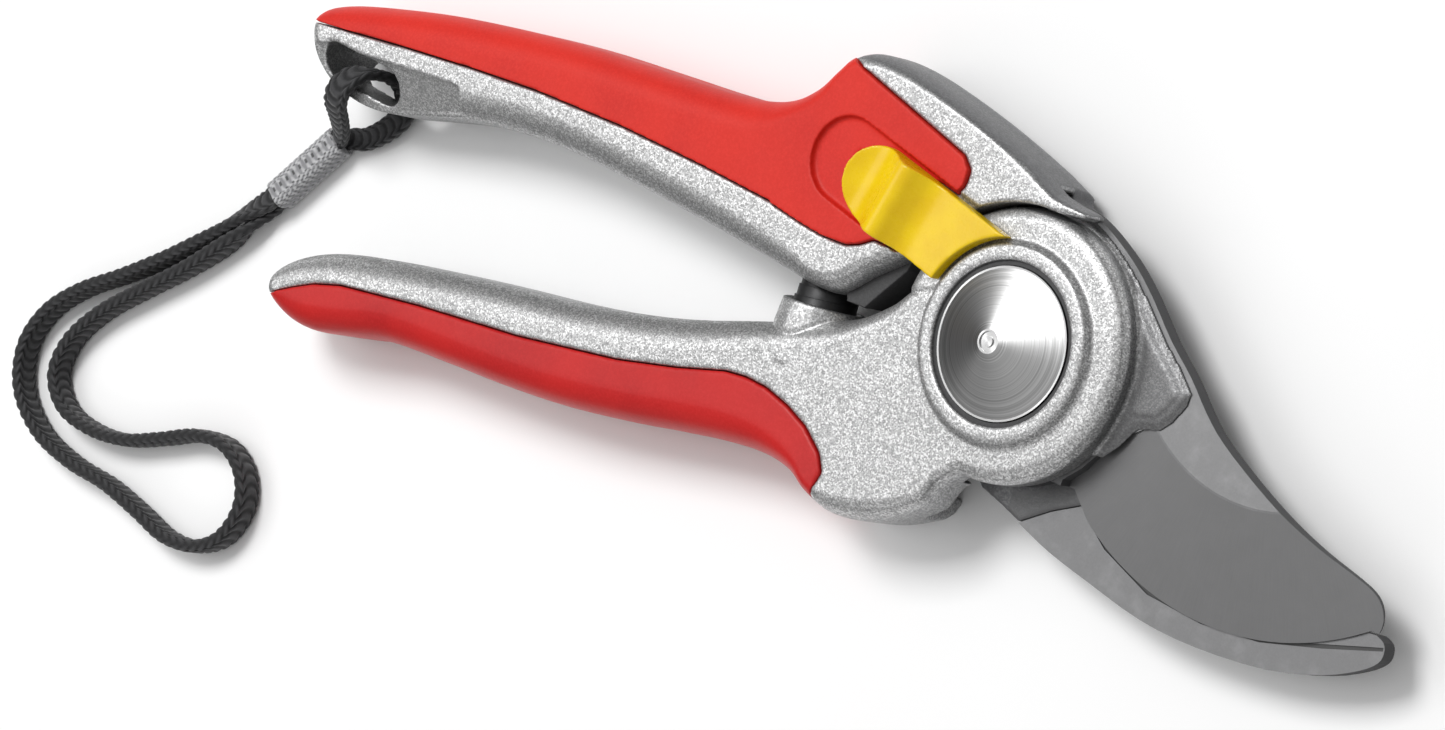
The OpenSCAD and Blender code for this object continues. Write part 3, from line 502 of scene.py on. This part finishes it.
def braided(name, rows, width, thickness, pitch, columns, relief, step=0.26, around=76):
    """Flat braid swept along rows: V-shaped stitches in columns, as raised geometry."""
    rows, along = even_steps(rows, step)
    centre = rows[:, :3]
    d = np.gradient(centre, axis=0)
    d /= np.linalg.norm(d, axis=1)[:, None]
    w = rows[:, 3:6]
    w = w - d * (w * d).sum(1)[:, None]
    w /= np.linalg.norm(w, axis=1)[:, None]
    h = np.cross(d, w)
    t = np.arange(around) / around * 2 * math.pi
    cx = np.sign(np.cos(t)) * np.abs(np.cos(t)) ** SIDE_POWER
    cy = np.sign(np.sin(t)) * np.abs(np.sin(t)) ** FACE_POWER
    # where each point lies across the face, counted in columns of stitches
    column = (cx * 0.5 + 0.5) * columns
    inside = column - np.floor(column)
    lean = np.abs(inside - 0.5) * 2
    flip = np.where(np.floor(column) % 2 == 0, 1.0, -1.0)
    shift = flip * lean * STITCH_LEAN + (cy < 0) * 0.5
    phase = along[:, None] / pitch + shift[None, :]
    wave = 0.5 + 0.5 * np.cos(2 * math.pi * phase)
    crown = (1 - lean ** 4)[None, :]
    lift = (wave ** 0.7) * (0.45 + 0.55 * crown)
    a = (width / 2 * rows[:, 6])[:, None] - relief * 0.6 + lift * relief * 0.6
    b = (thickness / 2 * rows[:, 7])[:, None] - relief + lift * relief
    points = (centre[:, None, :] + w[:, None, :] * (a * cx[None, :])[:, :, None]
              + h[:, None, :] * (b * cy[None, :])[:, :, None])
    count = len(rows)
    points = points.reshape(-1, 3)
    faces = grid_faces(count, around)
    points = np.concatenate([points, centre[:1], centre[-1:]])
    first, last = count * around, count * around + 1
    faces += [(first, (i + 1) % around, i) for i in range(around)]
    base = (count - 1) * around
    faces += [(last, base + i, base + (i + 1) % around) for i in range(around)]
    piece = new_piece(name, points * MM, faces)
    mesh = piece.data
    values = np.concatenate([lift.ravel(), [0.0, 0.0]]).astype(np.float32)
    mesh.attributes.new("lift", "FLOAT", "POINT").data.foreach_set("value", values)
    rim = np.linspace(0, 2 * (width + thickness), around + 1)
    uv = mesh.uv_layers.new(name="UVMap")
    corner = np.zeros(len(mesh.loops), np.int32)
    mesh.loops.foreach_get("vertex_index", corner)
    ring = np.minimum(corner // around, count - 1)
    spot = corner % around
    flat = np.stack([rim[spot], along[ring]], 1).astype(np.float32)
    uv.data.foreach_set("uv", flat.ravel())
    return piece, centre, along[-1]


strap, strap_line, strap_length = braided(
    "wrist_strap", open_curve(ROUTE, 12), STRAP_W, STRAP_T, 1.9, 5, 0.34)
# middle of the sleeve, its direction seen from above and half its length
SLEEVE_X, SLEEVE_Y, SLEEVE_Z = -152.2, -10.1, 2.32
SLEEVE_DX, SLEEVE_DY = 0.643, 0.766
SLEEVE_HALF = 7.75
SLEEVE_W, SLEEVE_T = 5.15, 4.55
sleeve_rows = np.array([(SLEEVE_X + SLEEVE_DX * u, SLEEVE_Y + SLEEVE_DY * u, SLEEVE_Z,
                         SLEEVE_DY, -SLEEVE_DX, 0, 1, 1)
                        for u in np.linspace(-SLEEVE_HALF, SLEEVE_HALF, 12)])
sleeve, _, _ = braided("strap_sleeve_braid", sleeve_rows, SLEEVE_W, SLEEVE_T, 1.3, 6, 0.16,
                       step=0.2, around=64)
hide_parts("strap_cord")
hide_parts("strap_sleeve")
for piece in (strap, sleeve):
    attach(piece, "upper_arm")
paint(strap, yarn("strap_yarn", (0.008, 0.008, 0.009), (0.05, 0.05, 0.053)))
paint(sleeve, yarn("sleeve_yarn", (0.26, 0.26, 0.27), (0.62, 0.62, 0.63), (0.03, 0.03, 0.03)))

# ---- handles --------------------------------------------------------------------------------

# outlines of the two castings, as in the CAD model: x, y, how far the rounded front edge runs in,
# and, where the back edge is rounded more, its own run-in and height
UPPER = [
    (-148.4, 13.6, 3), (-147.4, 9.9, 3.5), (-144.9, 6.9, 4), (-141.4, 4.7, 4), (-136, 3.4, 4),
    (-130, 3.4, 4), (-121.2, 4.9, 4.5), (-112, 6.3, 5), (-101, 7, 5), (-89, 6.6, 5), (-76, 5, 5),
    (-64, 3.3, 5), (-53.5, 1.7, 4.5), (-44, 0.1, 4), (-37, -1.1, 3), (-32, -0.5, 3),
    (-27, 3.4, 2.5), (-18, 9.5, 2), (-8, 16, 1.2), (2, 19.8, 0.8), (7.4, 20.4, 0.45),
    (8.3, 21.2, 0.4), (7.2, 21.8, 0.45), (1.5, 22.9, 0.8, 2, 7), (-4.7, 26.2, 1.3, 4, 8),
    (-16.6, 30.6, 1.6, 5.5, 8), (-28.8, 34, 2, 5.5, 8), (-36.4, 35, 2.5, 4.5, 8),
    (-40.5, 33.9, 2.5, 3.6, 8), (-43, 31.1, 2.5, 3.6, 8), (-46, 27.7, 3.5, 4.5, 8),
    (-50.3, 24.8, 4, 5, 7.5), (-56.5, 23.2, 5, 5, 6.5), (-66, 22.8, 5), (-80, 23, 5),
    (-94.2, 23.1, 5), (-108, 22.5, 5), (-122, 21.4, 5), (-135, 19.6, 4.5), (-142.8, 18.1, 4),
    (-147, 16.4, 3.5),
]
LOWER = [
    (-29.2, -30.7, 2.5), (-24, -32.3, 3), (-17, -31.4, 3), (-11, -29, 2.5), (-6.6, -26, 1.5),
    (-5, -22.6, 1.5), (-1, -19, 1.5), (4, -12, 2), (2, 0, 2), (-8, 6, 2), (-18, 4.5, 2),
    (-23, 0.4, 3), (-28, -3, 3), (-34, -5.2, 4), (-41, -7.2, 4), (-49, -9.2, 4.5),
    (-58.1, -11.5, 5), (-68, -13.4, 5), (-82, -15.2, 5), (-97.8, -16.4, 5), (-111, -17.6, 5),
    (-123.1, -18.9, 5), (-132, -20.4, 4.5), (-138.2, -22.4, 4), (-142.3, -25, 3),
    (-143.9, -27.8, 2.4), (-143, -30.8, 2.6), (-139, -33.1, 4), (-133.6, -33.7, 4.5),
    (-126, -32.6, 4.5), (-117, -31.2, 5), (-104, -31.2, 5), (-92, -31.4, 5), (-79, -31.1, 5),
    (-66, -29.9, 5), (-56, -28.6, 5), (-47, -27.6, 5), (-39.5, -27.4, 4.5), (-33.5, -28.5, 3.5),
]
UPPER_T, SKIN_T, LOWER_T = 16.4, 16.8, 15.5  # heights of the upper casting, its skin, the lower
HANDLE_EDGE = 5
upper_tree = pebble_tree(UPPER, 0, UPPER_T, HANDLE_EDGE)
skin_tree = pebble_tree(UPPER, 0, SKIN_T, HANDLE_EDGE)
lower_tree = pebble_tree(LOWER, 0, LOWER_T, HANDLE_EDGE)

silver = silver_cast()
red_upper = red_skin("red_upper", (0.62, 0.018, 0.008), (0.54, 0.013, 0.007), 0.50, 0.022)
red_lower = red_skin("red_lower", (0.52, 0.011, 0.010), (0.43, 0.008, 0.009), 0.40, 0.008)
fine = 0.30
for node, tree, finish, rounds, front in (
        ("upper_handle", upper_tree, silver, 5, -6), ("lower_handle", lower_tree, silver, 5, -11),
        ("upper_grip", skin_tree, red_upper, 4, 0), ("lower_grip", lower_tree, red_lower, 4, 0)):
    paint(softened(node, fine, rounds, tree, front=front), finish)

# ---- blades, pivot, lock --------------------------------------------------------------------

blade_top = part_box("cutting_blade")[1].z
hook_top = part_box("counter_blade")[1].z
edge_centre = (0.0428, 0.0148, 0.0)  # round which the grinding strokes run
paint(nodes["cutting_blade"], blade_steel("ground_blade", (0.20, 0.20, 0.202), (0.24, 0.24, 0.243),
                                          edge_centre, blade_top))
# the counter blade's lower field is near-black: painted shade
paint(nodes["counter_blade"], blade_steel("counter_steel", (0.08, 0.08, 0.08), (0.22, 0.22, 0.223),
                                          edge_centre, hook_top))
paint(nodes["pivot_nut"], turned_metal())
paint(softened("lock_slide", 0.16, 14), yellow_gloss())
rubber = plain_polymer("black_rubber", (0.035, 0.035, 0.036), 0.62)
paint(softened("rubber_stop", 0.2, 3), rubber)
paint(nodes["nut_seal"], rubber)
steel = dark_metal("small_steel", (0.34, 0.34, 0.345), 0.4)
for node in ("pivot_bolt", "blade_screws", "counter_blade_screws", "lock_tongue", "lock_rivet",
             "spring_washer", "spring_seat", "detent_ball", "detent_spring"):
    paint(nodes[node], steel)
bronze = dark_metal("sintered_bronze", (0.42, 0.27, 0.12), 0.45, 0.25)
for node in ("back_bush", "blade_bush"):
    paint(nodes[node], bronze)
paint(nodes["friction_washer"], plain_polymer("white_washer", (0.6, 0.6, 0.58), 0.5))
paint(nodes["spring_cap"], plain_polymer("black_cap", (0.02, 0.02, 0.02), 0.45))

# ---- volute spring --------------------------------------------------------------------------


SPRING_X, SPRING_Z = -38.4, 8.3
SPRING_TURNS = 4.5
CAP_R, CUP_R = 3.75, 4.98  # radius of the first coil, at the cap, and the last, in the cup
CAP_Y, CUP_Y = 1.3, -6.3  # where the middle of the first and of the last coil lies
STRIP_HALF, STRIP_T, STRIP_BEVEL = 3.05, 0.24, 0.06


def volute(around=72):
    """Strip wound into overlapping coils that widen from the cap down to the lower handle."""
    x = SPRING_X * MM
    z = SPRING_Z * MM
    count = int(SPRING_TURNS * around)
    t = np.linspace(0, 1, count + 1)
    angle = t * SPRING_TURNS * 2 * math.pi
    outer = (CAP_R + (CUP_R - CAP_R) * t) * MM
    middle = (CAP_Y + (CUP_Y - CAP_Y) * t) * MM
    half, thick, bevel = STRIP_HALF * MM, STRIP_T * MM, STRIP_BEVEL * MM
    section = [(-thick, -half + bevel), (-thick + bevel, -half), (-bevel, -half), (0, -half + bevel),
               (0, half - bevel), (-bevel, half), (-thick + bevel, half), (-thick, half - bevel)]
    points = []
    for a, r, m in zip(angle, outer, middle):
        points += [(x + (r + dr) * math.cos(a), m + dy, z + (r + dr) * math.sin(a))
                   for dr, dy in section]
    n = len(section)
    faces = grid_faces(count + 1, n)
    faces += [tuple(range(n - 1, -1, -1)), tuple(count * n + i for i in range(n))]
    return new_piece("volute_spring_strip", points, faces)


spring = volute()
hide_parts("volute_spring")
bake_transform(spring)
paint(spring, dark_metal("black_strip", (0.030, 0.030, 0.031), 0.42, 0.5, 0.6))

# ---- floor and light ------------------------------------------------------------------------

FLOOR_HALF, FLOOR_Z = 4, -0.0002

floor_surface = Surface("floor", Roughness=0.9)
mottle = floor_surface.noise(60.0, 2.0, 0.5)
paper = floor_surface.mix(mottle, (0.90, 0.90, 0.90), (0.93, 0.93, 0.93))
corners = [(FLOOR_HALF * sx, FLOOR_HALF * sy, FLOOR_Z)
           for sx, sy in ((-1, -1), (1, -1), (1, 1), (-1, 1))]
floor = new_piece("floor", corners, [(0, 1, 2, 3)], smooth=False)
paint(floor, floor_surface.set(Base_Color=paper))

world = bpy.data.worlds.new("studio")
world.use_nodes = True
sky = world.node_tree
sky.nodes.clear()
sky_out = sky.nodes.new("ShaderNodeOutputWorld")
sky_light = sky.nodes.new("ShaderNodeBackground")
sky_place = sky.nodes.new("ShaderNodeTexCoord")
sky_axes = sky.nodes.new("ShaderNodeSeparateXYZ")
sky_ramp = sky.nodes.new("ShaderNodeValToRGB")
for element, (at, level) in zip(sky_ramp.color_ramp.elements, ((0.25, 0.16), (0.8, 1.0))):
    element.position = at
    element.color = (level, level, level, 1)
sky.links.new(sky_place.outputs["Generated"], sky_axes.inputs[0])
sky.links.new(sky_axes.outputs[2], sky_ramp.inputs[0])
sky.links.new(sky_ramp.outputs[0], sky_light.inputs["Color"])
sky_light.inputs["Strength"].default_value = 0.6
sky.links.new(sky_light.outputs[0], sky_out.inputs[0])
bpy.context.scene.world = world


def softbox(name, where, at, size, power):
    data = bpy.data.lights.new(name, "AREA")
    data.shape = "RECTANGLE"
    data.size, data.size_y = size
    data.energy = power
    lamp = bpy.data.objects.new(name, data)
    lamp.location = where
    lamp.rotation_euler = (Vector(at) - Vector(where)).to_track_quat("-Z", "Y").to_euler()
    bpy.context.scene.collection.objects.link(lamp)


softbox("key", (-0.26, 0.52, 1.0), (0, 0, 0), (0.42, 0.42), 8.0)
softbox("fill", (-0.85, 0.1, 0.95), (-0.06, 0, 0), (0.8, 0.6), 3.0)
softbox("rim", (-0.1, -0.9, 0.55), (-0.03, 0, 0), (0.9, 0.3), 1.0)
bpy.context.scene.view_settings.view_transform = "Standard"
